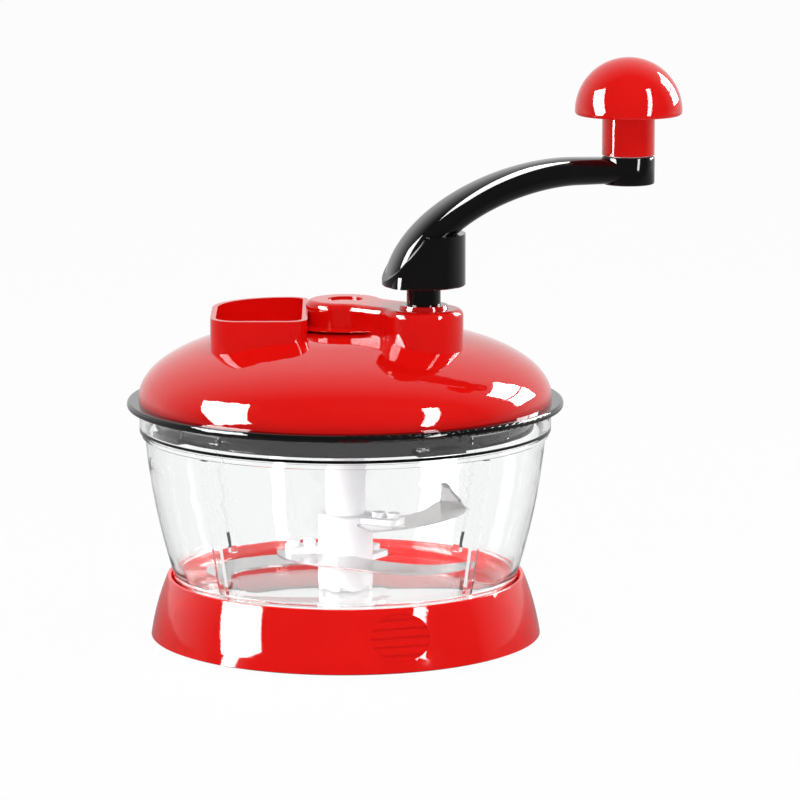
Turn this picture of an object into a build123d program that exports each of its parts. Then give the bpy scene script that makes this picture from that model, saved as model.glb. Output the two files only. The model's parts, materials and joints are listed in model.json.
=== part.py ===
from build123d import *
from math import acos, atan2, cos, degrees, hypot, pi, radians, sin, tan
import os

# Crank food chopper, in millimetres. X is to the right, Y is away from the viewer and Z is up.
# The origin is the centre of the base on the table, and the bowl's axis is the Z axis.

# ---- clearances ----------------------------------------------------------------------------
running_fit = 0.06        # radial play of a shaft in its bearing
loose_fit = 0.3           # play between curved faces that only pass each other
screw_fit = 0.05          # radial play of a screw in its hole

# ---- bowl ----------------------------------------------------------------------------------
ledge_height = 17.7
bowl_wall = 2.4
bowl_floor = 2.5
bowl_low_radius = 77.4
bowl_low_height = ledge_height + 11.3
bowl_shoulder_height = 93.4
bowl_floor_radius = bowl_low_radius - 8.4
bowl_middle_radius = bowl_low_radius + 7.4
bowl_middle_height = bowl_low_height + 0.45 * (bowl_shoulder_height - bowl_low_height)
bowl_shoulder_radius = bowl_low_radius + 12.2
collar_radius = bowl_shoulder_radius + 2.4
collar_height = 9.6
collar_wall = 2.6
collar_step = 1.6
bead_radius = bowl_shoulder_radius + 1.4
bead_height = 2.2
rib_width = 3.8
rib_depth = 1.3
rib_bottom = bowl_low_height - 3.0
rib_top = bowl_shoulder_height - 3.4
rib_count = 4
rib_first_angle = 45.0
lug_arc = 15.0
lug_depth = 2.2
lug_height = 3.2
lug_above_shoulder = 5.2
pivot_radius = 3.0
pivot_rise = 23.8
pivot_chamfer = 0.6
pivot_boss_radius = 6.5
pivot_boss_height = 6.5
pivot_seat_depth = 4.5

# ---- base ring -----------------------------------------------------------------------------
ledge_thickness = 2.2
ledge_width = 7.0
base_lip_radius = bowl_low_radius + 2.6
base_lip_width = 1.6
base_lip_fillet = 0.6
base_foot_radius = base_lip_radius + 7.5
base_foot_height = 0.6
base_height = ledge_height + 9.8
base_bulge_radius = base_lip_radius + 4.8
base_bulge_height = 0.49 * base_height
base_wall = 2.4
grip_ring_width = 3.4
grip_ring_inset = 1.3
grip_ring_chamfer = 0.2
patch_half_width = 14.0
patch_half_height = 10.6
patch_height = 0.56 * base_height
patch_surface_radius = base_lip_radius + 4.4
patch_angle = -73.5
patch_count = 4
patch_depth = 1.2
patch_border = 0.8
patch_groove_pitch = 3.9
patch_groove_width = 1.0
patch_groove_count = 5
patch_groove_depth = 0.5

# ---- lid: flange plate, seal and dome -------------------------------------------------------
flange_radius = collar_radius + 5.5
flange_thickness = 3.2
seal_thickness = 0.8
seal_width = 3.6
seal_overhang = 0.4
skirt_gap = 4.9
skirt_wall = 2.4
skirt_depth = 8.6
lid_lug_height = 2.4
lid_lug_gap = 1.0
lock_turn = 17.0
dome_foot_radius = flange_radius - 5.1
dome_wall = 2.5
dome_rise = 34.0
dome_squareness = 0.93
dome_stations = 8
post_circle_radius = flange_radius - 23.5
post_radius = 4.0
post_angles = (27.0, 88.0, 140.0, 220.0, 272.0)
lid_screw_radius = 1.5
lid_screw_head_radius = 2.9
lid_screw_head_height = 1.6
lid_screw_length = 13.0

# ---- boss with two lobes, and the feed chute: heights above the flange ----------------------
spindle_x = 34.5
spindle_y = -28.0
boss_rise = 44.8
lobe_radius = 17.5
lobe_wall = 2.6
lobe_edge_fillet = 3.0
waist_width = 25.0
waist_fillet = 8.0
recess_radius = 7.8
recess_depth = 3.2
plug_thickness = 1.0
plug_chamfer = 0.3
chute_rise = 40.2
chute_left = 57.0
chute_right = 19.0
chute_half_depth = 35.5
chute_corner_radius = 6.0
chute_back_radius = 30.0
chute_front_radius = 10.0
chute_wall = 2.4

# ---- gear train ----------------------------------------------------------------------------
drive_teeth = 38
pinion_teeth = 16
pressure_angle = 20.0
tooth_backlash = 0.25
tooth_addendum = 0.9      # in modules
tooth_dedendum = 1.2      # in modules
flank_points = 4
gear_above_flange = 3.5
gear_thickness = 8.0
gear_web_gap = 0.8
pinion_journal_radius = 5.5
pinion_sleeve_radius = 10.0
pinion_sleeve_drop = 12.0
axle_radius = 2.5
axle_boss_radius = 10.0
axle_boss_drop = 10.0
axle_head_radius = 5.0
axle_head_height = 1.4
slot_radius = 7.6
slot_core_radius = 4.6
slot_wedge_angle = 90.0
slot_depth = 11.0

# ---- crank, spindle and knob ---------------------------------------------------------------
spindle_radius = 7.5
bush_wall = 2.0
bush_length = 22.0
bush_lip_width = 1.4
bush_lip_height = 1.6
bush_lip_taper = 20
bush_seat_wall = 3.0
clip_width = 2.6
clip_thickness = 1.4
square_side = 9.0
foot_radius = 18.4
foot_gap = 10.2
foot_height = 23.0
foot_slant_reach = 15.0
foot_slant_start = 1.0
foot_socket_depth = 14.0
arm_squareness = 1.127
arm_level_end = 25.0
arm_start_height = 16.2
arm_start_width = 30.0
arm_start_inset = 1.4
arm_end_height = 11.2
arm_end_width = 20.0
arm_corner_share = 0.36
arm_stations = 9
end_boss_radius = 11.75
end_boss_rise = 42.4
end_boss_height = 12.4
gear_screw_radius = 2.0
gear_screw_head_radius = 4.0
gear_screw_head_height = 1.8
gear_screw_length = 12.0
gear_washer_radius = 7.0
gear_washer_thickness = 1.2
knob_x = 125.0
knob_y = -10.0
knob_gap = 0.6
stem_radius = 11.65
stem_height = 17.5
cap_radius = 23.75
cap_height = 25.5
cap_rim = 1.7
knob_bore_depth = 30.0
knob_axle_radius = 4.0
knob_axle_head_radius = 6.5
knob_axle_head_height = 2.4
knob_axle_end = 1.0
knob_washer_inset = 1.6
knob_clip_radius = 6.4
knob_clip_height = 1.6
knob_clip_drop = 6.0
knob_clip_play = 2.0

# ---- blade set -----------------------------------------------------------------------------
hub_radius = 12.3
hub_gap = 0.7
hub_height = 34.3
hub_chamfer = 0.8
hub_scallop_count = 8
hub_scallop_radius = 2.6
hub_scallop_height = 2.0
shaft_radius = 8.95
shaft_chamfer = 0.8
shaft_gap_below_slot = 1.0
shaft_plug_radius = 6.0
shaft_plug_depth = 9.0
tongue_thickness = 4.0
tongue_height = 9.0
blade_thickness = 1.0
bracket_thickness = 2.6
bracket_width = 13.0
bracket_reach = 21.0
bracket_corner = 3.0
peg_radius = 2.9
peg_height = 2.6
peg_clearance = 1.0
peg_spread = 7.2
tip_rise = 9.0
tip_lean = 0.86
# each blade: its height above the bowl's floor, the direction of its bracket, and its outline in
# polar steps of (radius, angle from the bracket): the edge out to the tip, and the back in again
blade_rises = {"blade_upper": 31.3, "blade_middle": 16.8, "blade_lower": 10.8}
blade_turns = {"blade_upper": -25.0, "blade_middle": 182.0, "blade_lower": 57.0}
long_edge = ((31, -8), (31, 45), (36, 86), (48, 106), (59.4, 124), (60.5, 158))
long_back = ((60.5, 158), (46, 136), (26, 122), (11, 100))
short_edge = ((28, -40), (33, -6), (46.6, 29), (61.5, 50))
short_back = ((63.8, 71), (45.5, 61), (29.6, 48), (11, 40))
blade_edges = {"blade_upper": short_edge, "blade_middle": long_edge, "blade_lower": long_edge}
blade_backs = {"blade_upper": short_back, "blade_middle": long_back, "blade_lower": long_back}

# ---- places that follow from the sizes ------------------------------------------------------
collar_top = bowl_shoulder_height + collar_height
collar_bore = collar_radius - collar_wall
skirt_radius = collar_bore - skirt_gap
flange_bottom = collar_top + seal_thickness
flange_top = flange_bottom + flange_thickness
boss_top = flange_top + boss_rise
chute_top = flange_top + chute_rise
gear_bottom = flange_top + gear_above_flange
gear_top = gear_bottom + gear_thickness
slot_bottom = gear_bottom - pinion_sleeve_drop
spindle_reach = hypot(spindle_x, spindle_y)
spindle_turn = degrees(atan2(spindle_y, spindle_x))
tooth_module = 2 * spindle_reach / (drive_teeth + pinion_teeth)
foot_bottom = boss_top + foot_gap
arm_length = hypot(knob_x - spindle_x, knob_y - spindle_y)
end_boss_bottom = foot_bottom + end_boss_rise
end_boss_top = end_boss_bottom + end_boss_height
knob_bottom = end_boss_top + knob_gap
floor_top = ledge_height + bowl_floor
pivot_top = floor_top + pivot_rise
blade_levels = {name: floor_top + rise for name, rise in blade_rises.items()}
hub_bottom = floor_top + hub_gap
hub_top = hub_bottom + hub_height


def involute_point(base_radius, radius, start_angle, side):
    """A point of a tooth's flank at a radius; side is 1 for the left flank and -1 for the right."""
    roll = acos(min(1.0, base_radius / radius))
    turn = start_angle + side * (tan(roll) - roll)
    return (radius * cos(turn), radius * sin(turn))


def draw_gear(teeth, first_angle):
    """Outline of an external spur gear, one gap of which points along first_angle (degrees)."""
    pitch_radius = tooth_module * teeth / 2
    base_radius = pitch_radius * cos(radians(pressure_angle))
    tip_radius = pitch_radius + tooth_addendum * tooth_module
    root_radius = pitch_radius - tooth_dedendum * tooth_module
    foot_start = max(base_radius, root_radius + running_fit)
    roll = radians(pressure_angle)
    half_tooth = pi / (2 * teeth) - tooth_backlash / (2 * pitch_radius)
    half_foot = half_tooth + tan(roll) - roll
    flank_step = (tip_radius - foot_start) / (flank_points - 1)
    flank_radii = [foot_start + flank_step * point for point in range(flank_points)]
    with BuildLine() as outline:
        for tooth in range(teeth):
            middle = radians(first_angle) + 2 * pi * (tooth + 0.5) / teeth
            following = middle + 2 * pi / teeth
            rising = [involute_point(base_radius, r, middle - half_foot, 1) for r in flank_radii]
            falling = [involute_point(base_radius, r, middle + half_foot, -1) for r in reversed(flank_radii)]
            root_start = (root_radius * cos(middle - half_foot), root_radius * sin(middle - half_foot))
            root_end = (root_radius * cos(middle + half_foot), root_radius * sin(middle + half_foot))
            root_next = (root_radius * cos(following - half_foot), root_radius * sin(following - half_foot))
            Line(root_start, rising[0])
            Spline(*rising)
            Line(rising[-1], falling[0])
            Spline(*falling)
            Line(falling[-1], root_end)
            Line(root_end, root_next)
    make_face(outline.edges())


def slices(count, first_angle, arc):
    """Pie slices round the bowl's axis, which cut a ring into segments."""
    reach = 2 * flange_radius
    half_width = reach * tan(radians(arc / 2))
    with BuildSketch() as pie:
        with PolarLocations(0, count, start_angle=first_angle):
            Polygon((0, 0), (reach, -half_width), (reach, half_width), align=None)
    return pie.sketch


def draw_chute(outward):
    """Rounded outline of the feed chute's mouth, moved outward by a distance; straight beside the boss."""
    left = -chute_left - outward
    right = -chute_right + outward
    half = chute_half_depth + outward
    bend = chute_corner_radius + outward
    with BuildLine() as outline:
        FilletPolyline((right, half), (left, half), (left, -half), (right, -half), close=True,
                       radius=(bend, chute_back_radius + outward, chute_front_radius + outward, bend))
    make_face(outline.edges())


def save(part, name):
    """Labels a finished piece and writes its file."""
    part.label = name
    export_step(part, f"parts/{name}.step")


os.makedirs("parts", exist_ok=True)

# ---- base ring: a flared skirt, open in the middle, with a ledge that carries the bowl ------
lip_bore = base_lip_radius - base_lip_width
ledge_bore = lip_bore - ledge_width
ledge_underside = ledge_height - ledge_thickness
patch_tilt = atan2(base_foot_radius - base_lip_radius, base_height - base_foot_height)
patch_planes = []
for turn in range(patch_count):
    patch_turn = radians(patch_angle + 360 * turn / patch_count)
    outward = Vector(cos(patch_turn), sin(patch_turn), 0)
    across = Vector(-sin(patch_turn), cos(patch_turn), 0)
    normal = outward * cos(patch_tilt) + Vector(0, 0, sin(patch_tilt))
    surface = outward * patch_surface_radius + Vector(0, 0, patch_height)
    patch_planes.append(Plane(origin=surface - normal * patch_depth, x_dir=across, z_dir=normal))

with BuildPart() as base_ring:
    with BuildSketch(Plane.XZ):
        with BuildLine():
            Line((base_foot_radius - base_wall, base_foot_height), (base_foot_radius, base_foot_height))
            ThreePointArc((base_foot_radius, base_foot_height), (base_bulge_radius, base_bulge_height),
                          (base_lip_radius, base_height))
            Line((base_lip_radius, base_height), (lip_bore, base_height))
            Line((lip_bore, base_height), (lip_bore, ledge_height))
            Line((lip_bore, ledge_height), (ledge_bore, ledge_height))
            Line((ledge_bore, ledge_height), (ledge_bore, ledge_underside))
            Line((ledge_bore, ledge_underside), (lip_bore, ledge_underside))
            Line((lip_bore, ledge_underside), (base_foot_radius - base_wall, base_foot_height))
        make_face()
    revolve(axis=Axis.Z)
    outer_edges = base_ring.edges().filter_by(GeomType.CIRCLE).group_by(Axis.Z)[-1]
    fillet(outer_edges, radius=base_lip_fillet)
    # four thumb patches: round flats with grooves across them
    for patch_plane in patch_planes:
        with BuildSketch(patch_plane):
            Ellipse(patch_half_width, patch_half_height)
        extrude(amount=-base_wall)
        with BuildSketch(patch_plane):
            Ellipse(patch_half_width, patch_half_height)
        extrude(amount=base_wall + patch_depth, mode=Mode.SUBTRACT)
        with BuildSketch(patch_plane):
            with GridLocations(0, patch_groove_pitch, 1, patch_groove_count):
                Rectangle(2 * patch_half_width, patch_groove_width)
            Ellipse(patch_half_width - patch_border, patch_half_height - patch_border, mode=Mode.INTERSECT)
        extrude(amount=-patch_groove_depth, mode=Mode.SUBTRACT)
save(base_ring.part, "base_ring")

# ---- rubber ring under the base -------------------------------------------------------------
with BuildPart() as base_grip_ring:
    with BuildSketch():
        Circle(base_foot_radius - grip_ring_inset)
        Circle(base_foot_radius - grip_ring_inset - grip_ring_width, mode=Mode.SUBTRACT)
    extrude(amount=base_foot_height)
    chamfer(base_grip_ring.edges().group_by(Axis.Z)[0], length=grip_ring_chamfer)
save(base_grip_ring.part, "base_grip_ring")

bowl_lug_slices = slices(rib_count, rib_first_angle, lug_arc)
lid_lug_slices = slices(rib_count, rib_first_angle - lock_turn, lug_arc)

inner_floor_radius = bowl_floor_radius - 0.2 * bowl_wall
inner_low_radius = bowl_low_radius - bowl_wall
inner_low_height = bowl_low_height + 0.2 * bowl_wall

# ---- bowl: clear shell with collar, bead, ribs, lugs and a boss for the pivot ---------------
with BuildPart() as bowl:
    with BuildSketch(Plane.XZ):
        with BuildLine():
            Line((0, ledge_height), (bowl_floor_radius, ledge_height))
            TangentArc((bowl_floor_radius, ledge_height), (bowl_low_radius, bowl_low_height), tangent=(1, 0))
            ThreePointArc((bowl_low_radius, bowl_low_height), (bowl_middle_radius, bowl_middle_height),
                          (bowl_shoulder_radius, bowl_shoulder_height - bead_height))
            Line((bowl_shoulder_radius, bowl_shoulder_height - bead_height),
                 (bead_radius, bowl_shoulder_height - bead_height))
            Line((bead_radius, bowl_shoulder_height - bead_height), (bead_radius, bowl_shoulder_height))
            Line((bead_radius, bowl_shoulder_height), (collar_radius, bowl_shoulder_height))
            Line((collar_radius, bowl_shoulder_height), (collar_radius, collar_top))
            Line((collar_radius, collar_top), (0, collar_top))
            Line((0, collar_top), (0, ledge_height))
        make_face()
    revolve(axis=Axis.Z)
    with BuildSketch(Plane.XZ):
        with BuildLine():
            Line((0, floor_top), (inner_floor_radius, floor_top))
            TangentArc((inner_floor_radius, floor_top),
                       (inner_low_radius, inner_low_height), tangent=(1, 0))
            ThreePointArc((inner_low_radius, inner_low_height),
                          (bowl_middle_radius - bowl_wall, bowl_middle_height),
                          (bowl_shoulder_radius - bowl_wall, bowl_shoulder_height))
            Line((bowl_shoulder_radius - bowl_wall, bowl_shoulder_height),
                 (collar_bore, bowl_shoulder_height + collar_step))
            Line((collar_bore, bowl_shoulder_height + collar_step), (collar_bore, collar_top))
            Line((collar_bore, collar_top), (0, collar_top))
            Line((0, collar_top), (0, floor_top))
        make_face()
    revolve(axis=Axis.Z, mode=Mode.SUBTRACT)
    # upright ribs inside the wall
    for turn in range(rib_count):
        rib_plane = Plane.XY.rotated((0, 0, rib_first_angle + 360 * turn / rib_count))
        with BuildSketch(rib_plane.offset(rib_bottom)):
            with Locations((bowl_low_radius - bowl_wall - rib_depth, 0)):
                Rectangle(2 * rib_depth, rib_width)
        with BuildSketch(rib_plane.offset(rib_top)):
            with Locations((bowl_shoulder_radius - bowl_wall - rib_depth, 0)):
                Rectangle(2 * rib_depth, rib_width)
        loft()
    # four lugs inside the collar
    lug_start = bowl_shoulder_height + lug_above_shoulder
    with BuildSketch(Plane.XY.offset(lug_start)):
        Circle(collar_bore + collar_wall / 2)
        Circle(collar_bore - lug_depth, mode=Mode.SUBTRACT)
        add(bowl_lug_slices, mode=Mode.INTERSECT)
    extrude(amount=lug_height)
    # boss that holds the pivot
    with BuildSketch(Plane.XY.offset(floor_top)):
        Circle(pivot_boss_radius)
    extrude(amount=pivot_boss_height)
    with BuildSketch(Plane.XY.offset(floor_top + pivot_boss_height)):
        Circle(pivot_radius + screw_fit)
    extrude(amount=-pivot_seat_depth, mode=Mode.SUBTRACT)
save(bowl.part, "bowl")

# ---- steel pivot that the blade set turns on ------------------------------------------------
pivot_foot = floor_top + pivot_boss_height - pivot_seat_depth
with BuildPart() as pivot_pin:
    with BuildSketch(Plane.XY.offset(pivot_foot)):
        Circle(pivot_radius)
    extrude(amount=pivot_top - pivot_foot)
    chamfer(pivot_pin.edges().group_by(Axis.Z)[-1], length=pivot_chamfer)
save(pivot_pin.part, "pivot_pin")

# ---- blade set: hub with brackets, drive shaft and three blades -----------------------------


def polar(step):
    """A point of a blade's outline."""
    radius, turn = step
    return (radius * cos(radians(turn)), radius * sin(radians(turn)))


def blade_plane(name, height):
    """Plane at a height whose X axis points along the blade's bracket."""
    return Plane.XY.offset(height).rotated((0, 0, blade_turns[name]))


def draw_blade(name):
    """Outline of a crescent blade that wraps round the hub."""
    edge = [polar(step) for step in blade_edges[name]]
    back = [polar(step) for step in blade_backs[name]]
    with BuildLine() as outline:
        Spline(*edge)
        if edge[-1] != back[0]:
            Line(edge[-1], back[0])
        Spline(*back)
        Line(back[-1], (0, 0))
        Line((0, 0), edge[0])
    make_face(outline.edges())


def peg_places():
    """The two pegs of a bracket, along its direction."""
    first = hub_radius + peg_radius + peg_clearance
    return [(first, 0), (first + peg_spread, 0)]


with BuildPart() as blade_hub:
    with BuildSketch(Plane.XY.offset(hub_bottom)):
        Circle(hub_radius)
    extrude(amount=hub_height)
    chamfer(blade_hub.edges().group_by(Axis.Z)[-1], length=hub_chamfer)
    for name, level in blade_levels.items():
        with BuildSketch(blade_plane(name, level + blade_thickness / 2 + screw_fit)):
            with Locations((bracket_reach / 2 + hub_radius / 2, 0)):
                RectangleRounded(bracket_reach, bracket_width, bracket_corner)
        extrude(amount=bracket_thickness)
        with BuildSketch(blade_plane(name, level - blade_thickness / 2)):
            with Locations(*peg_places()):
                Circle(peg_radius)
        extrude(amount=blade_thickness + bracket_thickness + peg_height)
    # hollow foot that turns over the bowl's boss, bore for the pivot and socket for the shaft
    with BuildSketch(Plane.XY.offset(hub_bottom)):
        Circle(pivot_boss_radius + loose_fit)
    extrude(amount=pivot_boss_height + loose_fit, mode=Mode.SUBTRACT)
    with BuildSketch(Plane.XY.offset(hub_bottom)):
        Circle(pivot_radius + running_fit)
    extrude(amount=hub_height, mode=Mode.SUBTRACT)
    with BuildSketch(Plane.XY.offset(hub_top)):
        Circle(shaft_plug_radius + screw_fit)
    extrude(amount=-shaft_plug_depth, mode=Mode.SUBTRACT)
    # scalloped bottom edge
    with BuildSketch(Plane.XY.offset(hub_bottom)):
        with PolarLocations(hub_radius, hub_scallop_count):
            Circle(hub_scallop_radius)
    extrude(amount=hub_scallop_height, mode=Mode.SUBTRACT)
save(blade_hub.part, "blade_hub")

shaft_top = slot_bottom - shaft_gap_below_slot
with BuildPart() as blade_shaft:
    with BuildSketch(Plane.XY.offset(hub_top - shaft_plug_depth + loose_fit)):
        Circle(shaft_plug_radius)
    extrude(amount=shaft_plug_depth)
    with BuildSketch(Plane.XY.offset(hub_top)):
        Circle(shaft_radius)
    extrude(amount=shaft_top - hub_top)
    chamfer(blade_shaft.edges().group_by(Axis.Z)[-1], length=shaft_chamfer)
    # flat tongue that the pinion drives, turned to the near side of its slot
    tongue_plane = Plane.XY.offset(shaft_top).rotated((0, 0, lock_turn / 2))
    with BuildSketch(tongue_plane):
        Circle(slot_core_radius - loose_fit)
        Rectangle(2 * (slot_radius - loose_fit), tongue_thickness)
    extrude(amount=tongue_height)
save(blade_shaft.part, "blade_shaft")

for name, level in blade_levels.items():
    with BuildPart() as blade:
        with BuildSketch(blade_plane(name, level - blade_thickness / 2)):
            draw_blade(name)
        extrude(amount=blade_thickness)
        with BuildSketch(blade_plane(name, level - blade_thickness / 2)):
            with Locations(*peg_places()):
                Circle(peg_radius + screw_fit)
            Circle(hub_radius + screw_fit)
        extrude(amount=blade_thickness, mode=Mode.SUBTRACT)
        if name == "blade_upper":
            # the end of the upper blade is bent up to a point
            bend_plane = blade_plane(name, level - blade_thickness / 2)
            bend_start = bend_plane.from_local_coords(Vector(*polar(short_edge[-1])))
            bend_end = bend_plane.from_local_coords(Vector(*polar(short_back[0])))
            bend_along = bend_end - bend_start
            bend_face = bend_along.cross(Vector(0, 0, 1))
            with BuildSketch(Plane(origin=bend_start, x_dir=bend_along, z_dir=bend_face)):
                Polygon((0, 0), (bend_along.length, 0), (tip_lean * bend_along.length, tip_rise), align=None)
            extrude(amount=blade_thickness, both=True)
    save(blade.part, name)

# ---- flange plate under the dome: closes the gearbox and fits inside the collar -------------
skirt_bottom = flange_bottom - skirt_depth
chute_floor = flange_top - skirt_wall
post_places = [(post_circle_radius * cos(radians(turn)), post_circle_radius * sin(radians(turn)))
               for turn in post_angles]
with BuildPart() as lid_base:
    with BuildSketch(Plane.XY.offset(flange_bottom)):
        Circle(flange_radius)
    extrude(amount=flange_thickness)
    fillet(lid_base.edges(), radius=0.4 * flange_thickness)
    with BuildSketch(Plane.XY.offset(skirt_bottom)):
        Circle(skirt_radius)
    extrude(amount=skirt_depth)
    with BuildSketch(Plane.XY.offset(skirt_bottom)):
        Circle(skirt_radius - skirt_wall)
    extrude(amount=chute_floor - skirt_bottom, mode=Mode.SUBTRACT)
    # four lugs that turn in under the bowl's lugs
    with BuildSketch(Plane.XY.offset(lug_start - lid_lug_gap - lid_lug_height)):
        Circle(collar_bore - 2 * loose_fit)
        Circle(skirt_radius - skirt_wall / 2, mode=Mode.SUBTRACT)
        add(lid_lug_slices, mode=Mode.INTERSECT)
    extrude(amount=lid_lug_height)
    # mouth of the chute, hole for the pinion's sleeve and holes for the screws
    with BuildSketch(Plane.XY.offset(chute_floor)):
        draw_chute(0)
    extrude(amount=skirt_wall, mode=Mode.SUBTRACT)
    with BuildSketch(Plane.XY.offset(chute_floor)):
        Circle(pinion_sleeve_radius + running_fit)
        with Locations(*post_places):
            Circle(lid_screw_radius + screw_fit)
    extrude(amount=skirt_wall, mode=Mode.SUBTRACT)
save(lid_base.part, "lid_base")

# ---- seal between the collar and the flange -------------------------------------------------
with BuildPart() as lid_seal:
    with BuildSketch(Plane.XY.offset(collar_top)):
        Circle(collar_radius + seal_overhang)
        Circle(collar_radius + seal_overhang - seal_width, mode=Mode.SUBTRACT)
    extrude(amount=seal_thickness)
save(lid_seal.part, "lid_seal")

# ---- red lid shell: dome, two-lobed boss and feed chute -------------------------------------
lobe_places = [(0, 0), (spindle_x, spindle_y)]


def draw_dome(inset):
    """Half section of the dome, a squarish quarter ellipse; the inside is drawn in by the wall."""
    foot = dome_foot_radius - inset
    rise = dome_rise - inset
    turns = [radians(90 * step / dome_stations) for step in range(dome_stations + 1)]
    crown = [(foot * cos(turn) ** dome_squareness, flange_top + rise * sin(turn) ** dome_squareness)
             for turn in turns]
    crown[-1] = (0, flange_top + rise)
    with BuildLine() as outline:
        Line((0, flange_top), crown[0])
        Spline(*crown, tangents=((0, 1), (-1, 0)))
        Line(crown[-1], (0, flange_top))
    make_face(outline.edges())


def draw_boss(inset):
    """Plan of the boss: a lobe on the bowl's axis and one round the spindle, joined by a waist."""
    with Locations(*lobe_places):
        Circle(lobe_radius - inset)
    with Locations(Location((spindle_x / 2, spindle_y / 2, 0), (0, 0, spindle_turn))):
        Rectangle(spindle_reach, waist_width - 2 * inset)
    fillet(vertices(), radius=waist_fillet + inset)


with BuildPart() as lid_shell:
    with BuildSketch(Plane.XZ):
        draw_dome(0)
    revolve(axis=Axis.Z)
    with BuildSketch(Plane.XY.offset(flange_top)):
        draw_boss(0)
    extrude(amount=boss_rise)
    fillet(lid_shell.faces().sort_by(Axis.Z)[-1].edges(), radius=lobe_edge_fillet)
    with BuildSketch(Plane.XZ):
        draw_dome(dome_wall)
    revolve(axis=Axis.Z, mode=Mode.SUBTRACT)
    with BuildSketch(Plane.XY.offset(flange_top)):
        draw_boss(lobe_wall)
    extrude(amount=boss_rise - lobe_wall, mode=Mode.SUBTRACT)
    # chute, open from its rim down to the bowl
    with BuildSketch(Plane.XY.offset(flange_top)):
        draw_chute(chute_wall)
    extrude(amount=chute_rise)
    with BuildSketch(Plane.XY.offset(flange_top)):
        draw_chute(0)
    extrude(amount=chute_rise, mode=Mode.SUBTRACT)
    # seats of the pinion's axle and of the spindle's bush
    with BuildSketch(Plane.XY.offset(boss_top - axle_boss_drop)):
        Circle(axle_boss_radius)
    extrude(amount=axle_boss_drop - lobe_wall)
    with BuildSketch(Plane.XY.offset(boss_top - lobe_wall)):
        with Locations((spindle_x, spindle_y)):
            Circle(spindle_radius + running_fit + bush_wall + bush_seat_wall)
    extrude(amount=lobe_wall - bush_length)
    with BuildSketch(Plane.XY.offset(boss_top)):
        Circle(recess_radius)
    extrude(amount=-recess_depth, mode=Mode.SUBTRACT)
    with BuildSketch(Plane.XY.offset(boss_top)):
        Circle(axle_radius + screw_fit)
    extrude(amount=-axle_boss_drop, mode=Mode.SUBTRACT)
    with BuildSketch(Plane.XY.offset(boss_top)):
        with Locations((spindle_x, spindle_y)):
            Circle(spindle_radius + running_fit + bush_wall + screw_fit)
    extrude(amount=-bush_length, mode=Mode.SUBTRACT)
    # posts for the screws that hold the flange plate
    with BuildSketch(Plane.XY.offset(flange_top)):
        with Locations(*post_places):
            Circle(post_radius)
    extrude(until=Until.NEXT)
    with BuildSketch(Plane.XY.offset(flange_top)):
        with Locations(*post_places):
            Circle(lid_screw_radius + screw_fit)
    extrude(amount=lid_screw_length, mode=Mode.SUBTRACT)
save(lid_shell.part, "lid_shell")

with BuildPart() as lid_screws:
    with BuildSketch(Plane.XY.offset(chute_floor - lid_screw_head_height)):
        with Locations(*post_places):
            Circle(lid_screw_head_radius)
    extrude(amount=lid_screw_head_height)
    with BuildSketch(Plane.XY.offset(chute_floor)):
        with Locations(*post_places):
            Circle(lid_screw_radius)
    extrude(amount=lid_screw_length)
save(lid_screws.part, "lid_screws")

# ---- axle of the pinion, and the plug over its head -----------------------------------------
recess_floor = boss_top - recess_depth
with BuildPart() as pinion_axle:
    with BuildSketch(Plane.XY.offset(gear_bottom + gear_web_gap)):
        Circle(axle_radius)
    extrude(amount=recess_floor - gear_bottom - gear_web_gap)
    with BuildSketch(Plane.XY.offset(recess_floor)):
        Circle(axle_head_radius)
    extrude(amount=axle_head_height)
save(pinion_axle.part, "pinion_axle")

with BuildPart() as axle_plug:
    with BuildSketch(Plane.XY.offset(recess_floor + axle_head_height)):
        Circle(recess_radius - screw_fit)
    extrude(amount=plug_thickness)
    chamfer(axle_plug.edges().group_by(Axis.Z)[-1], length=plug_chamfer)
save(axle_plug.part, "axle_plug")

# ---- pinion: gear with a journal above and a sleeve with the drive slot below ---------------
slot_slices = slices(2, 0, slot_wedge_angle)
with BuildPart() as pinion:
    with BuildSketch(Plane.XY.offset(gear_bottom)):
        draw_gear(pinion_teeth, spindle_turn)
    extrude(amount=gear_thickness)
    with BuildSketch(Plane.XY.offset(gear_top)):
        Circle(pinion_journal_radius)
    extrude(amount=boss_top - axle_boss_drop - gear_web_gap - gear_top)
    with BuildSketch(Plane.XY.offset(slot_bottom)):
        Circle(pinion_sleeve_radius)
    extrude(amount=pinion_sleeve_drop)
    with BuildSketch(Plane.XY.offset(gear_bottom)):
        Circle(axle_radius + running_fit)
    extrude(amount=boss_top, mode=Mode.SUBTRACT)
    with BuildSketch(Plane.XY.offset(slot_bottom)):
        Circle(slot_radius)
        add(slot_slices, mode=Mode.INTERSECT)
        Circle(slot_core_radius)
    extrude(amount=slot_depth, mode=Mode.SUBTRACT)
save(pinion.part, "pinion")

# ---- drive gear with a square bore, on the spindle ------------------------------------------
half_tooth_turn = 180 / drive_teeth
with BuildPart() as drive_gear:
    with BuildSketch(Plane(origin=(spindle_x, spindle_y, gear_bottom))):
        draw_gear(drive_teeth, spindle_turn + 180 - half_tooth_turn)
        Rectangle(square_side + 2 * screw_fit, square_side + 2 * screw_fit, mode=Mode.SUBTRACT)
    extrude(amount=gear_thickness)
save(drive_gear.part, "drive_gear")

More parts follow.
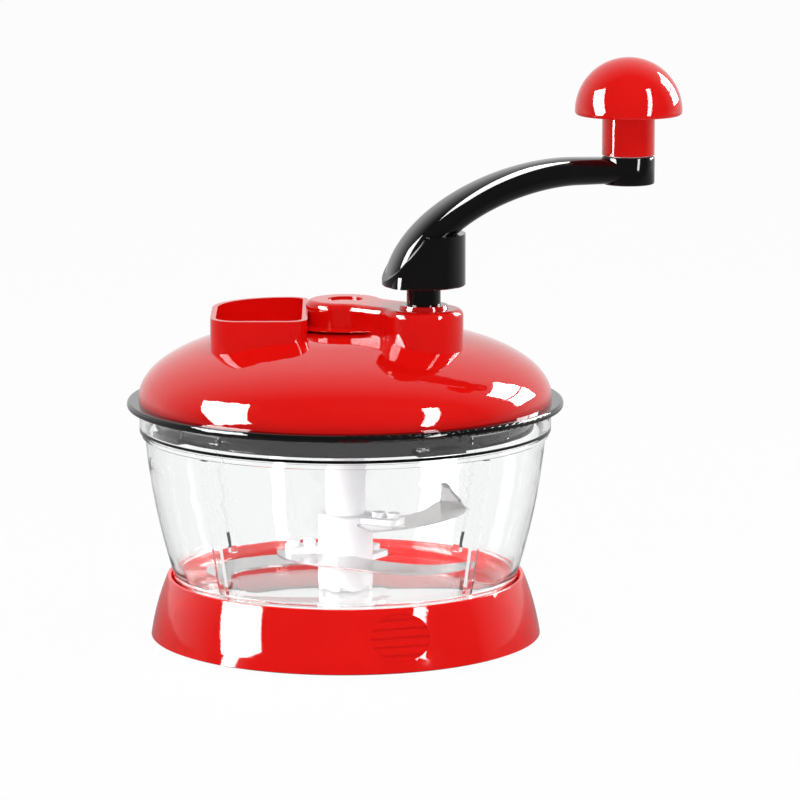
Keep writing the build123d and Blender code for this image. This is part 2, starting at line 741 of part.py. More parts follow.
with BuildPart() as crank_spindle:
    with BuildSketch(Plane.XY.offset(gear_top)):
        with Locations((spindle_x, spindle_y)):
            Circle(spindle_radius)
    extrude(amount=foot_bottom - gear_top)
    with BuildSketch(Plane.XY.offset(gear_bottom)):
        with Locations((spindle_x, spindle_y)):
            Rectangle(square_side, square_side)
    extrude(amount=gear_thickness)
    with BuildSketch(Plane.XY.offset(foot_bottom)):
        with Locations((spindle_x, spindle_y)):
            Rectangle(square_side, square_side)
    extrude(amount=foot_socket_depth - loose_fit)
    with BuildSketch(Plane.XY.offset(gear_bottom)):
        with Locations((spindle_x, spindle_y)):
            Circle(gear_screw_radius + screw_fit)
    extrude(amount=gear_screw_length, mode=Mode.SUBTRACT)
save(crank_spindle.part, "crank_spindle")

with BuildPart() as spindle_bush:
    with BuildSketch(Plane.XY.offset(boss_top - bush_length)):
        with Locations((spindle_x, spindle_y)):
            Circle(spindle_radius + running_fit + bush_wall)
    extrude(amount=bush_length)
    with BuildSketch(Plane.XY.offset(boss_top)):
        with Locations((spindle_x, spindle_y)):
            Circle(spindle_radius + running_fit + bush_wall + bush_lip_width)
    extrude(amount=bush_lip_height, taper=bush_lip_taper)
    with BuildSketch(Plane.XY.offset(boss_top - bush_length)):
        with Locations((spindle_x, spindle_y)):
            Circle(spindle_radius + running_fit)
    extrude(amount=2 * bush_length, mode=Mode.SUBTRACT)
save(spindle_bush.part, "spindle_bush")

with BuildPart() as spindle_clip:
    with BuildSketch(Plane.XY.offset(boss_top - bush_length - loose_fit - clip_thickness)):
        with Locations((spindle_x, spindle_y)):
            Circle(spindle_radius + screw_fit + clip_width)
            Circle(spindle_radius + screw_fit, mode=Mode.SUBTRACT)
    extrude(amount=clip_thickness)
save(spindle_clip.part, "spindle_clip")

with BuildPart() as gear_washer:
    with BuildSketch(Plane.XY.offset(gear_bottom - gear_washer_thickness)):
        with Locations((spindle_x, spindle_y)):
            Circle(gear_washer_radius)
            Circle(gear_screw_radius + screw_fit, mode=Mode.SUBTRACT)
    extrude(amount=gear_washer_thickness)
save(gear_washer.part, "gear_washer")

gear_screw_seat = gear_bottom - gear_washer_thickness
with BuildPart() as gear_screw:
    with BuildSketch(Plane.XY.offset(gear_screw_seat - gear_screw_head_height)):
        with Locations((spindle_x, spindle_y)):
            Circle(gear_screw_head_radius)
    extrude(amount=gear_screw_head_height)
    with BuildSketch(Plane.XY.offset(gear_screw_seat)):
        with Locations((spindle_x, spindle_y)):
            Circle(gear_screw_radius)
    extrude(amount=gear_screw_length)
save(gear_screw.part, "gear_screw")

# ---- crank arm: foot on the spindle, gooseneck and a boss for the knob ----------------------
arm_along = Vector(knob_x - spindle_x, knob_y - spindle_y, 0).normalized()
arm_side = arm_along.cross(Vector(0, 0, 1))
end_boss_middle = end_boss_bottom + end_boss_height / 2


def arm_point(reach, height):
    """A point in the arm's upright plane, by its distance from the spindle and its height."""
    return Vector(spindle_x, spindle_y, height) + arm_along * reach


def arm_curve(turn):
    """Point of the arm's centre line: a quarter of an ellipse, from the foot to its level end."""
    reach = arm_length - arm_level_end - arm_run * cos(turn) ** arm_squareness
    return arm_point(reach, foot_bottom + arm_rise * sin(turn) ** arm_squareness)


arm_run = arm_length - arm_level_end + foot_radius - arm_start_height / 2 - arm_start_inset
arm_rise = end_boss_middle - foot_bottom
arm_turns = [radians(90 * step / arm_stations) for step in range(arm_stations)]
with BuildLine() as arm_path:
    Spline(*[arm_curve(turn) for turn in arm_turns], arm_point(arm_length - arm_level_end, end_boss_middle),
           arm_point(arm_length, end_boss_middle))
with BuildPart() as crank_arm:
    with BuildSketch(Plane.XY.offset(foot_bottom)):
        with Locations((spindle_x, spindle_y)):
            Circle(foot_radius)
    extrude(amount=foot_height)
    with BuildSketch(Plane(origin=arm_point(0, foot_bottom), x_dir=arm_along, z_dir=arm_side)):
        Polygon((-foot_radius - 1, foot_slant_start), (foot_slant_reach - foot_radius, foot_height + 1),
                (-foot_radius - 1, foot_height + 1), align=None)
    extrude(amount=foot_radius, both=True, mode=Mode.SUBTRACT)
    for station in range(arm_stations):
        share = station / (arm_stations - 1)
        height = arm_start_height + (arm_end_height - arm_start_height) * share
        width = arm_start_width + (arm_end_width - arm_start_width) * share
        along = arm_path.line % share
        with BuildSketch(Plane(origin=arm_path.line @ share, x_dir=arm_side, z_dir=along)):
            RectangleRounded(width, height, arm_corner_share * height)
    loft()
    # the underside of the foot is flat
    with BuildSketch(Plane.XY.offset(foot_bottom)):
        with Locations((spindle_x, spindle_y)):
            Circle(2 * foot_radius)
    extrude(amount=-foot_gap, mode=Mode.SUBTRACT)
    with BuildSketch(Plane.XY.offset(end_boss_bottom)):
        with Locations((knob_x, knob_y)):
            Circle(end_boss_radius)
    extrude(amount=end_boss_height)
    with BuildSketch(Plane.XY.offset(foot_bottom)):
        with Locations((spindle_x, spindle_y)):
            Rectangle(square_side + 2 * screw_fit, square_side + 2 * screw_fit)
    extrude(amount=foot_socket_depth, mode=Mode.SUBTRACT)
    with BuildSketch(Plane.XY.offset(end_boss_bottom)):
        with Locations((knob_x, knob_y)):
            Circle(knob_axle_radius + screw_fit)
    extrude(amount=end_boss_height, mode=Mode.SUBTRACT)
    with BuildSketch(Plane.XY.offset(end_boss_bottom)):
        with Locations((knob_x, knob_y)):
            Circle(knob_axle_head_radius + loose_fit)
    extrude(amount=knob_axle_head_height, mode=Mode.SUBTRACT)
save(crank_arm.part, "crank_arm")

# ---- knob, its axle, washer and clip --------------------------------------------------------
clip_height = knob_bottom + knob_bore_depth - knob_clip_drop
axle_top = clip_height + knob_clip_height + knob_axle_end
with BuildPart() as knob_axle:
    with BuildSketch(Plane.XY.offset(end_boss_bottom)):
        with Locations((knob_x, knob_y)):
            Circle(knob_axle_head_radius)
    extrude(amount=knob_axle_head_height)
    with BuildSketch(Plane.XY.offset(end_boss_bottom)):
        with Locations((knob_x, knob_y)):
            Circle(knob_axle_radius)
    extrude(amount=axle_top - end_boss_bottom)
save(knob_axle.part, "knob_axle")

with BuildPart() as knob_washer:
    with BuildSketch(Plane.XY.offset(end_boss_top)):
        with Locations((knob_x, knob_y)):
            Circle(stem_radius - knob_washer_inset)
            Circle(knob_axle_radius + screw_fit, mode=Mode.SUBTRACT)
    extrude(amount=knob_gap)
save(knob_washer.part, "knob_washer")

with BuildPart() as knob_clip:
    with BuildSketch(Plane.XY.offset(clip_height)):
        with Locations((knob_x, knob_y)):
            Circle(knob_clip_radius)
            Circle(knob_axle_radius + screw_fit, mode=Mode.SUBTRACT)
    extrude(amount=knob_clip_height)
save(knob_clip.part, "knob_clip")

knob_plane = Plane(origin=(knob_x, knob_y, knob_bottom), x_dir=(1, 0, 0), z_dir=(0, -1, 0))
knob_axis = Axis((knob_x, knob_y, 0), (0, 0, 1))
cap_bottom = stem_height
cap_top = stem_height + cap_height
cap_middle = cap_top - cap_radius
with BuildPart() as knob:
    with BuildSketch(knob_plane):
        with BuildLine():
            Line((0, 0), (stem_radius, 0))
            Line((stem_radius, 0), (stem_radius, cap_bottom))
            Line((stem_radius, cap_bottom), (cap_radius - cap_rim, cap_bottom))
            JernArc((cap_radius - cap_rim, cap_bottom), (1, 0), cap_rim, 90)
            Line((cap_radius, cap_bottom + cap_rim), (cap_radius, cap_middle))
            ThreePointArc((cap_radius, cap_middle),
                          (cap_radius * cos(pi / 4), cap_middle + cap_radius * sin(pi / 4)), (0, cap_top))
            Line((0, cap_top), (0, 0))
        make_face()
    revolve(axis=knob_axis)
    with BuildSketch(Plane.XY.offset(knob_bottom)):
        with Locations((knob_x, knob_y)):
            Circle(knob_axle_radius + running_fit)
    extrude(amount=knob_bore_depth, mode=Mode.SUBTRACT)
    with BuildSketch(Plane.XY.offset(clip_height - loose_fit)):
        with Locations((knob_x, knob_y)):
            Circle(knob_clip_radius + loose_fit)
    extrude(amount=knob_clip_height + knob_clip_play, mode=Mode.SUBTRACT)
save(knob.part, "knob")
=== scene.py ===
# %% [markdown]
# # A crank food chopper
# The construction of the chopper is given: every piece has its real size and place.
# This lesson dresses it: finishes for red, black, clear and white plastic, steel and rubber,
# smooth meshes where the light shows every facet, and a white studio round it.

# %% The frame
import json
import math

import bmesh
import bpy
from mathutils import Matrix, Vector


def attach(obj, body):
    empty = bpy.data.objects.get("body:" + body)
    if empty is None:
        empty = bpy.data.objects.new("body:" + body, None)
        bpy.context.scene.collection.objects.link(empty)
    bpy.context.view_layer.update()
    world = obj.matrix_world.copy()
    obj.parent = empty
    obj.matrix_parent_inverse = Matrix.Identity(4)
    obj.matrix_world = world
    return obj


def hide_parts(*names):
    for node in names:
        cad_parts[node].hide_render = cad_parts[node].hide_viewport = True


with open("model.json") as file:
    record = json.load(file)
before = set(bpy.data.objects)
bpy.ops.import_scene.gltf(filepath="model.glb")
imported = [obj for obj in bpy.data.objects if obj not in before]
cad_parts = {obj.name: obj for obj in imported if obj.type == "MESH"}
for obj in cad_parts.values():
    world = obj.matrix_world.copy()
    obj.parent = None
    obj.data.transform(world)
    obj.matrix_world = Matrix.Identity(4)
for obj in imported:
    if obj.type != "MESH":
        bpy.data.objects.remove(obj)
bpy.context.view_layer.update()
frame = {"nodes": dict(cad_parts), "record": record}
nodes = frame["nodes"]

# %% [markdown]
# ## Shader maths as plain expressions
# A node tree grows hard to read when each sum needs three lines. A small class wraps a socket,
# so that `1 - mask` or `height * 0.2 + grain` adds the Math nodes by itself. Every other node
# comes from one method, which takes its type, its settings and what its sockets hold.

# %% A socket that can be reckoned with
class Wire:
    """One output socket of a node tree, with the usual operators."""

    def __init__(self, tree, socket):
        self.tree = tree
        self.socket = socket

    def math(self, operation, *others):
        node = self.tree.nodes.new("ShaderNodeMath")
        node.operation = operation
        for place, value in enumerate((self,) + others):
            if isinstance(value, Wire):
                self.tree.links.new(value.socket, node.inputs[place])
            else:
                node.inputs[place].default_value = value
        return Wire(self.tree, node.outputs[0])

    def number(self, value):
        node = self.tree.nodes.new("ShaderNodeValue")
        node.outputs[0].default_value = value
        return Wire(self.tree, node.outputs[0])

    def __add__(self, other):
        return self.math("ADD", other)

    __radd__ = __add__

    def __mul__(self, other):
        return self.math("MULTIPLY", other)

    __rmul__ = __mul__

    def __sub__(self, other):
        return self.math("SUBTRACT", other)

    def __rsub__(self, other):
        return self.number(other).math("SUBTRACT", self)

    def __truediv__(self, other):
        return self.math("DIVIDE", other)

    def above(self, level, soft):
        """0 below the level, 1 above it, with a soft step between."""
        return ((self - level) / soft).math("ADD", 0.5).math("MINIMUM", 1.0).math("MAXIMUM", 0.0)


class Finish:
    """A material under way: its tree, its Principled shader and the place on the object."""

    def __init__(self, name):
        self.material = bpy.data.materials.new(name)
        self.material.use_nodes = True
        self.tree = self.material.node_tree
        self.shader = self.tree.nodes["Principled BSDF"]
        self.output = self.tree.nodes["Material Output"]
        self.place = self.node("ShaderNodeNewGeometry")["Position"]

    def node(self, kind, settings=None, **inputs):
        """Adds a node; returns its outputs by name as wires."""
        made = self.tree.nodes.new(kind)
        for key, value in (settings or {}).items():
            if key == "stops":
                ramp = made.color_ramp.elements
                for place, (position, colour) in enumerate(value):
                    stop = ramp[place] if place < 2 else ramp.new(position)
                    stop.position = position
                    stop.color = (*colour, 1)
            else:
                setattr(made, key, value)
        for key, value in inputs.items():
            socket = made.inputs[int(key[1:]) if key[0] == "_" else key]
            if isinstance(value, Wire):
                self.tree.links.new(value.socket, socket)
            else:
                socket.default_value = value
        return {out.name: Wire(self.tree, out) for out in made.outputs if out.enabled}

    def noise(self, size, detail=2.0, stretch=None):
        """Even noise whose lumps are about this size, in metres; stretch squeezes it by axis."""
        place = self.place
        if stretch:
            squeezed = self.node("ShaderNodeVectorMath", {"operation": "MULTIPLY"}, _0=place, _1=stretch)
            place = squeezed["Vector"]
        return self.node("ShaderNodeTexNoise", Vector=place, Scale=1 / size, Detail=detail)["Fac"]

    def mix(self, amount, first, second):
        """A colour between two, by a wire or a number."""
        return self.node("ShaderNodeMix", {"data_type": "RGBA"}, _0=amount, _6=first, _7=second)["Result"]

    def bump(self, height, distance, strength=1.0):
        out = self.node("ShaderNodeBump", Height=height, Distance=distance, Strength=strength)
        self.tree.links.new(out["Normal"].socket, self.shader.inputs["Normal"])

    def set(self, **values):
        """Sets the shader's sockets; underscores in a name stand for spaces."""
        for key, value in values.items():
            socket = self.shader.inputs[key.replace("_", " ")]
            if isinstance(value, Wire):
                self.tree.links.new(value.socket, socket)
            else:
                socket.default_value = value


def colour(red, green, blue):
    """A colour as a picture gives it, from 0 to 255, turned to the linear values that light needs."""
    steps = [value / 255 for value in (red, green, blue)]
    return tuple(s / 12.92 if s <= 0.04045 else ((s + 0.055) / 1.055) ** 2.4 for s in steps) + (1.0,)


# %% [markdown]
# ## Finishes
# Gloss plastic is never quite one colour: the moulding flows, so the tone drifts a little, a
# faint orange peel bends the reflections, and fine rubbing dulls it in patches. These three
# are noises of three sizes that feed the colour, the bump and the roughness.

# %% Gloss mouldings in red and black
def gloss_plastic(name, base, drift, roughness, shine=0.5, peel=0.000004):
    """A polished moulding: drifting tone, orange peel and patches of fine rubbing."""
    finish = Finish(name)
    tone = finish.noise(0.05, 3.0)
    rubbed = finish.noise(0.012, 6.0).above(0.62, 0.2)
    dust = finish.noise(0.0011, 2.0).above(0.74, 0.05)
    finish.set(Base_Color=finish.mix(tone, base, drift), Roughness=rubbed * 0.05 + dust * 0.08 + roughness,
               IOR=1.5, Specular_IOR_Level=shine)
    finish.bump(finish.noise(0.006, 2.0), peel)
    return finish.material


red_plastic = gloss_plastic("red_plastic", colour(228, 12, 8), colour(240, 20, 14), 0.04)
black_plastic = gloss_plastic("black_plastic", colour(10, 9, 10), colour(18, 16, 17), 0.03, 0.4)
print("mouldings:", red_plastic.name, black_plastic.name)

# %% [markdown]
# Clear styrene is nearly colourless and bends light strongly, which draws the dark lines at
# its edges. A path tracer throws a black shadow behind glass, where the real bowl lets
# light through, so shadow rays pass most of it: the mix goes by the kind of ray.

# %% Clear plastic
def clear_plastic():
    finish = Finish("clear_plastic")
    scuff = finish.noise(0.009, 5.0).above(0.66, 0.12)
    finish.set(Base_Color=(0.985, 0.99, 0.99, 1), Roughness=scuff * 0.035 + 0.012, IOR=1.5,
               Transmission_Weight=1.0)
    finish.bump(finish.noise(0.02, 1.0), 0.00002)
    passing = finish.node("ShaderNodeBsdfTransparent", Color=(0.97, 0.975, 0.975, 1))["BSDF"]
    shadow = finish.node("ShaderNodeLightPath")["Is Shadow Ray"]
    both = finish.node("ShaderNodeMixShader", _0=shadow * 0.92)
    mixer = both["Shader"].socket.node
    finish.tree.links.new(finish.shader.outputs[0], mixer.inputs[1])
    finish.tree.links.new(passing.socket, mixer.inputs[2])
    finish.tree.links.new(mixer.outputs[0], finish.output.inputs["Surface"])
    return finish.material


clear = clear_plastic()
print("clear:", clear.name)

# %% [markdown]
# The hub and the gears are white satin plastic. The blades are ground sheet with fine lines along
# the blade. Turned steel has lines
# round its axis, and rubber is dark, dull and slightly grainy.

# %% White plastic, steels and rubber
def satin_plastic(name, base, drift):
    finish = Finish(name)
    finish.set(Base_Color=finish.mix(finish.noise(0.02, 3.0), base, drift),
               Roughness=finish.noise(0.006, 4.0) * 0.12 + 0.26, IOR=1.48)
    finish.set(Subsurface_Weight=0.12, Subsurface_Radius=(0.004, 0.004, 0.004), Subsurface_Scale=0.6)
    finish.bump(finish.noise(0.0015, 2.0), 0.00002)
    return finish.material


def ground_steel(name, base, roughness, line, stretch):
    finish = Finish(name)
    lines = finish.noise(line, 2.0, stretch)
    stain = finish.noise(0.02, 3.0)
    finish.set(Base_Color=finish.mix(stain, base, tuple(value * 0.86 for value in base[:3]) + (1,)),
               Metallic=1.0, Roughness=lines * 0.08 + stain * 0.05 + roughness)
    finish.bump(lines, 0.0000006)
    return finish.material


def rubber():
    finish = Finish("black_rubber")
    grain = finish.noise(0.0008, 3.0)
    finish.set(Base_Color=finish.mix(finish.noise(0.02), colour(16, 16, 16), colour(30, 29, 29)),
               Roughness=grain * 0.2 + 0.42, IOR=1.5)
    finish.bump(grain, 0.00004)
    return finish.material


white_plastic = satin_plastic("white_plastic", colour(238, 238, 240), colour(247, 246, 248))
blade_steel = ground_steel("blade_steel", colour(206, 203, 203), 0.16, 0.0012, (1.0, 0.12, 4.0))
plain_steel = ground_steel("steel", colour(190, 190, 192), 0.24, 0.0007, (1.0, 1.0, 0.1))
black_rubber = rubber()
print("finishes:", [material.name for material in bpy.data.materials if material.users or material.use_nodes])

# %% [markdown]
# ## Dressing the given pieces
# Every piece names its slot in the record, so one loop gives each its finish.
# The given meshes are shaded facet by facet, which gloss shows at once. Every piece but the
# crank arm gets a stand-in with the same points, welded and shaded smooth up to a crease angle.
# The bush is white in the record, and is drawn red here because the picture shows its lip so.

# %% Each node takes the finish of its slot
finishes = {
    "red_plastic": red_plastic,
    "black_plastic": black_plastic,
    "clear_plastic": clear,
    "white_plastic": white_plastic,
    "black_rubber": black_rubber,
    "blade_steel": blade_steel,
    "steel": plain_steel,
}
slots = {part["node"]: part["material_slot"] for part in frame["record"]["subparts"]}
for name, piece in nodes.items():
    piece.data.materials.clear()
    piece.data.materials.append(finishes[slots[name]])
print("dressed:", len(slots))


# %% Smooth stand-ins
body_of = {name: body for body, names in frame["record"]["behaviour"]["bodies"].items() for name in names}
usual_crease = 32
blade_crease = 25
crease = {name: blade_crease for name in ("blade_upper", "blade_middle", "blade_lower")}
weld_distance = 2e-6


def stand_in(name, angle):
    """A welded copy of a node, smooth wherever its faces meet at less than the angle."""
    shape = bmesh.new()
    shape.from_mesh(nodes[name].data)
    bmesh.ops.remove_doubles(shape, verts=shape.verts, dist=weld_distance)
    shape.verts.index_update()
    points = [vertex.co.copy() for vertex in shape.verts]
    faces = [[vertex.index for vertex in face.verts] for face in shape.faces]
    shape.free()
    mesh = bpy.data.meshes.new(f"{name}_smooth")
    mesh.from_pydata(points, [], faces)
    mesh.materials.append(finishes[slots[name]])
    mesh.shade_smooth()
    mesh.set_sharp_from_angle(angle=math.radians(angle))
    piece = bpy.data.objects.new(f"{name}_smooth", mesh)
    bpy.context.scene.collection.objects.link(piece)
    even = piece.modifiers.new("even", "WEIGHTED_NORMAL")
    even.keep_sharp = True
    even.weight = 70
    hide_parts(name)
    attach(piece, body_of[name])
    return piece


smooth = {}
for name in nodes:
    if name != "crank_arm":
        smooth[name] = stand_in(name, crease.get(name, usual_crease))
smooth["spindle_bush"].data.materials[0] = finishes["red_plastic"]
print("smooth pieces:", len(smooth))

# %% [markdown]
# ## The crank arm
# The gloss black arm lives by the white strips that run along its edge, and they need a full
# round flank. So the arm is a sweep of its own: a bend from the foot, then level to the knob,
# with a squarish elliptic section that tapers to the end. Its curve is a guess. At the lower
# left it lies inside the outline of the given arm and of the picture.

# %% The arm as a sweep
spindle_place = Vector((0.0345, -0.028, 0))
knob_place = Vector((0.125, -0.010, 0))
foot_low, foot_high = 0.1620, 0.1850
foot_radius = 0.0184
boss_low, boss_high = 0.2044, 0.2168
boss_radius = 0.01175
arm_reach = (knob_place - spindle_place).length
along = (knob_place - spindle_place).normalized()
aside = along.cross(Vector((0, 0, 1)))
level_end = 0.025
bend_share = 0.82
bend_power = 1.127
side_power, top_power = 0.72, 0.82
foot_inset = 0.0014
start_half, end_half = Vector((0.0150, 0.0081)), Vector((0.0100, 0.0056))
run = arm_reach - level_end + foot_radius - start_half.y - foot_inset
rise = (boss_low + boss_high) / 2 - foot_low


def arm_centre(share):
    """Place on the arm's centre line, from 0 at the foot to 1 at the knob."""
    if share <= bend_share:
        turn = math.pi / 2 * share / bend_share
        distance = arm_reach - level_end - run * math.cos(turn) ** bend_power
        height = foot_low + rise * math.sin(turn) ** bend_power
    else:
        distance = arm_reach - level_end * (1 - share) / (1 - bend_share)
        height = foot_low + rise
    return spindle_place + along * distance + Vector((0, 0, height))


def ring_faces(first, second, count):
    """The faces between two rings of points."""
    pairs = [(k, (k + 1) % count) for k in range(count)]
    return [(first + k, first + after, second + after, second + k) for k, after in pairs]


arm_points, arm_faces = [], []
stations, around = 56, 64
step_ahead = 0.002
for station in range(stations):
    share = station / (stations - 1)
    here = arm_centre(share)
    ahead = (arm_centre(min(1, share + step_ahead)) - arm_centre(max(0, share - step_ahead))).normalized()
    if station == 0:
        ahead = Vector((0, 0, 1))
    outward = aside.cross(ahead)
    half = start_half.lerp(end_half, share)
    for step in range(around):
        turn = 2 * math.pi * step / around
        over, up = math.cos(turn), math.sin(turn)
        over = math.copysign(abs(over) ** side_power, over) * half.x
        up = math.copysign(abs(up) ** top_power, up) * half.y
        place = here + aside * over + outward * up
        place.z = max(place.z, foot_low)
        arm_points.append(place)
for station in range(stations - 1):
    arm_faces += ring_faces(station * around, (station + 1) * around, around)
arm_faces.append(tuple(range(around - 1, -1, -1)))
arm_faces.append(tuple(range((stations - 1) * around, stations * around)))


def add_turned(centre, outline, top=None, count=72):
    """Adds a turned form; its outline runs (radius, height), and top may lower it by direction."""
    start = len(arm_points)
    for radius, height in outline:
        for step in range(count):
            turn = 2 * math.pi * step / count
            spot = centre + Vector((radius * math.cos(turn), radius * math.sin(turn), height))
            if top:
                spot.z = min(spot.z, top((spot - centre).dot(along)))
            arm_points.append(spot)
    for level in range(len(outline) - 1):
        arm_faces.extend(ring_faces(start + level * count, start + (level + 1) * count, count))


def foot_top(distance):
    """The foot's top falls on a slant toward the arm's start; a ledge still shows beyond it."""
    return max(foot_low + 0.0008, min(foot_high, foot_low + 0.001 + (distance + 0.0194) * foot_slope))


foot_slope = 1.25
spindle_bore = 0.0046
edge = 0.0005
foot_outline = [(spindle_bore, foot_low), (foot_radius - edge, foot_low)]
foot_outline += [(foot_radius, foot_low + edge)]
foot_outline += [(foot_radius, foot_high), (foot_radius * 0.5, foot_high), (0.0005, foot_high)]
add_turned(spindle_place, foot_outline, foot_top)
edge = 0.0009
axle_bore, recess_radius, recess_depth = 0.0041, 0.0068, 0.0024
boss_outline = [(axle_bore, boss_low + recess_depth), (recess_radius, boss_low + recess_depth)]
boss_outline += [(recess_radius, boss_low)]
boss_outline += [(boss_radius - edge, boss_low), (boss_radius - edge * 0.3, boss_low + edge * 0.3)]
boss_outline += [(boss_radius, boss_low + edge), (boss_radius, boss_high - edge)]
boss_outline += [(boss_radius - edge * 0.3, boss_high - edge * 0.3), (boss_radius - edge, boss_high)]
boss_outline += [(axle_bore, boss_high), (axle_bore, boss_low + recess_depth)]
add_turned(knob_place, boss_outline)

arm_crease = 38
arm_mesh = bpy.data.meshes.new("crank_arm_smooth")
arm_mesh.from_pydata(arm_points, [], arm_faces)
arm_shape = bmesh.new()
arm_shape.from_mesh(arm_mesh)
bmesh.ops.remove_doubles(arm_shape, verts=arm_shape.verts, dist=1e-6)
bmesh.ops.recalc_face_normals(arm_shape, faces=arm_shape.faces)
arm_shape.to_mesh(arm_mesh)
arm_shape.free()
arm_mesh.materials.append(black_plastic)
arm_mesh.shade_smooth()
arm_mesh.set_sharp_from_angle(angle=math.radians(arm_crease))
arm = bpy.data.objects.new("crank_arm_smooth", arm_mesh)
bpy.context.scene.collection.objects.link(arm)
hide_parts("crank_arm")
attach(arm, body_of["crank_arm"])
smooth["crank_arm"] = arm
print("arm:", len(arm_points), "points")

# %% [markdown]
# ## Studio
# The chopper stands on a white floor under a white sky. The camera sees both nearly plain
# white, by the kind of ray, while the floor keeps a soft shadow. Gloss sees them dimmer toward
# the viewer. A window on the left, a strip on the right and four panes behind on the right give
# the hard-edged white shapes on the red gloss.

# %% Floor and sky
floor_level = 0.0
white = 1.0


def sweep_finish():
    """White floor: white to the eye and in glass; what gloss sees of it darkens to the front."""
    finish = Finish("white_sweep")
    greys = (0.86, 0.86, 0.86, 1), (0.88, 0.88, 0.88, 1)
    finish.set(Base_Color=finish.mix(finish.noise(0.4), *greys), Roughness=0.7)
    rays = finish.node("ShaderNodeLightPath")
    seen = rays["Is Camera Ray"].math("MAXIMUM", rays["Is Transmission Ray"])
    depth = finish.node("ShaderNodeSeparateXYZ", _0=finish.place)["Y"]
    mirrored = depth.above(0.5, 2.0) * 0.8 + 0.12
    glow = finish.node("ShaderNodeEmission", Color=(1, 1, 1, 1), Strength=1.0)["Emission"]
    dim = finish.node("ShaderNodeEmission", Color=(1, 1, 1, 1), Strength=mirrored)["Emission"]
    plain = finish.node("ShaderNodeMixShader", _0=seen * 0.94)["Shader"].socket.node
    finish.tree.links.new(finish.shader.outputs[0], plain.inputs[1])
    finish.tree.links.new(glow.socket, plain.inputs[2])
    mirrored_ray = rays["Is Glossy Ray"] * (1 - rays["Is Transmission Ray"])
    glossy = finish.node("ShaderNodeMixShader", _0=mirrored_ray)["Shader"].socket.node
    finish.tree.links.new(plain.outputs[0], glossy.inputs[1])
    finish.tree.links.new(dim.socket, glossy.inputs[2])
    finish.tree.links.new(glossy.outputs[0], finish.output.inputs["Surface"])
    return finish.material


floor_mesh = bpy.data.meshes.new("floor")
reach = 6.0
corners = [(-reach, -reach, 0), (reach, -reach, 0), (reach, reach, 0), (-reach, reach, 0)]
floor_mesh.from_pydata([(x, y, floor_level) for x, y, _ in corners], [], [(0, 1, 2, 3)])
floor_mesh.materials.append(sweep_finish())
floor = bpy.data.objects.new("floor", floor_mesh)
bpy.context.scene.collection.objects.link(floor)

world = bpy.data.worlds.new("studio")
bpy.context.scene.world = world
world.use_nodes = True
sky = world.node_tree
backdrop = sky.nodes["Background"]
backdrop.inputs["Color"].default_value = (1, 1, 1, 1)
rays = sky.nodes.new("ShaderNodeLightPath")
seen = Wire(sky, rays.outputs["Is Camera Ray"]).math("MAXIMUM", Wire(sky, rays.outputs["Is Transmission Ray"]))
gloss = Wire(sky, rays.outputs["Is Glossy Ray"]) * (1 - Wire(sky, rays.outputs["Is Transmission Ray"]))
# the room behind the viewer is dim, and the backdrop behind the chopper is white
bearing = sky.nodes.new("ShaderNodeTexCoord")
parts = sky.nodes.new("ShaderNodeSeparateXYZ")
sky.links.new(bearing.outputs["Generated"], parts.inputs[0])
depth = Wire(sky, parts.outputs["Y"])
fill_level = 0.62
room = depth.above(0.25, 0.7) * 0.85 + 0.13
plain = seen * (white - fill_level) + fill_level
strength = gloss * (room - plain) + plain
sky.links.new(strength.socket, backdrop.inputs["Strength"])
print("fill light:", fill_level)

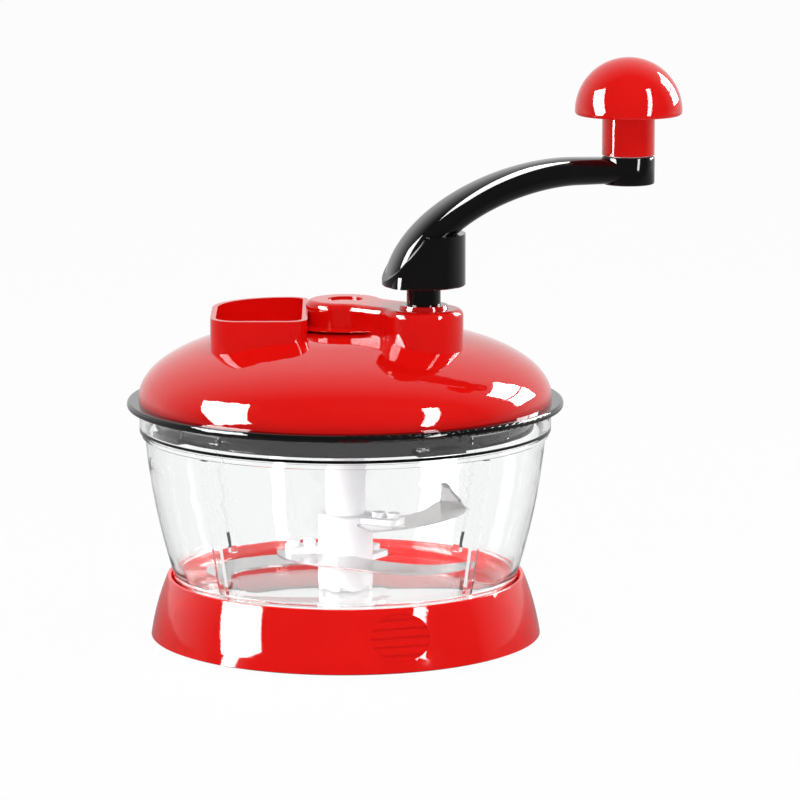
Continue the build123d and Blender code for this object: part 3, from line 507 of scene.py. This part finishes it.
# %% Lamps
def window(name, bearing, elevation, reach, width, height, radiance, lean=0.0, seen_only=True):
    """A rectangular lamp in a direction from the chopper, by compass from the viewer's side."""
    turn = math.radians(bearing)
    lift = math.radians(elevation)
    out = Vector((math.sin(turn) * math.cos(lift), -math.cos(turn) * math.cos(lift), math.sin(lift)))
    lamp = bpy.data.lights.new(name, "AREA")
    lamp.shape = "RECTANGLE"
    lamp.size = width
    lamp.size_y = height
    lamp.energy = math.pi * width * height * radiance
    holder = bpy.data.objects.new(name, lamp)
    holder.location = Vector((0, 0, 0.12)) + out * reach
    facing = (-out).to_track_quat("-Z", "Y").to_matrix()
    holder.rotation_euler = (facing @ Matrix.Rotation(math.radians(lean), 3, "Z")).to_euler()
    # the panes draw reflections only; the plain light on the chopper comes from the sky and the ceiling
    holder.visible_diffuse = not seen_only
    bpy.context.scene.collection.objects.link(holder)
    return holder


window("window_left", -72, 22, 1.25, 0.62, 1.15, 30.0, lean=26)
window("strip_right", 50, 24, 1.25, 0.18, 1.1, 24.0, lean=-16)
pane_reach = 1.25
pane_middle = 24
pane_width = 0.25
pane_height = 0.32
bar = 0.03
for column in (-1, 1):
    for row in (-1, 1):
        side = math.degrees(math.atan2(column * (pane_width + bar) / 2, pane_reach))
        lift = pane_middle + math.degrees(math.atan2(row * (pane_height + bar) / 2, pane_reach))
        name = f"pane_{column + 1}{row + 1}"
        window(name, 120 + side, lift, pane_reach, pane_width, pane_height, 20.0)
ceiling = window("ceiling", 30, 62, 1.9, 1.5, 1.2, 2.4, seen_only=False)
ceiling.visible_glossy = False

# one long overhead strip lights only the crank arm, and draws the white line along it;
# it hangs level, so its place and turn are given here
overhead = window("overhead", 0, 90, 1.2, 0.42, 1.7, 30.0)
overhead.location = (-0.12, 0.12, 1.35)
overhead.rotation_euler = (0, 0, math.radians(-18))
lit = bpy.data.collections.new("lit_by_overhead")
lit.objects.link(smooth["crank_arm"])
overhead.light_linking.receiver_collection = lit
print("lamps:", len(bpy.data.lights))

# %% [markdown]
# ## Camera
# The picture was fitted with a long lens from two metres: the widths of the base and the rim
# give the distance, and how far their ellipses open gives the height.

# %% The fitted view
camera_distance = 1.960
camera_height = 0.4408
camera_pitch = math.radians(9.693)
camera_yaw = math.radians(0.7146)
focal_in_widths = 4446.5 / 800
sensor_width = 36.0
lens = bpy.data.cameras.new("camera")
lens.sensor_width = sensor_width
lens.lens = focal_in_widths * sensor_width
lens.clip_end = 50.0
camera = bpy.data.objects.new("camera", lens)
camera.location = (0, -camera_distance, camera_height)
camera.rotation_euler = (math.pi / 2 - camera_pitch, 0, -camera_yaw)
bpy.context.scene.collection.objects.link(camera)
bpy.context.scene.camera = camera
bpy.context.scene.view_settings.view_transform = "Standard"
print("lens:", round(lens.lens, 1), "mm")
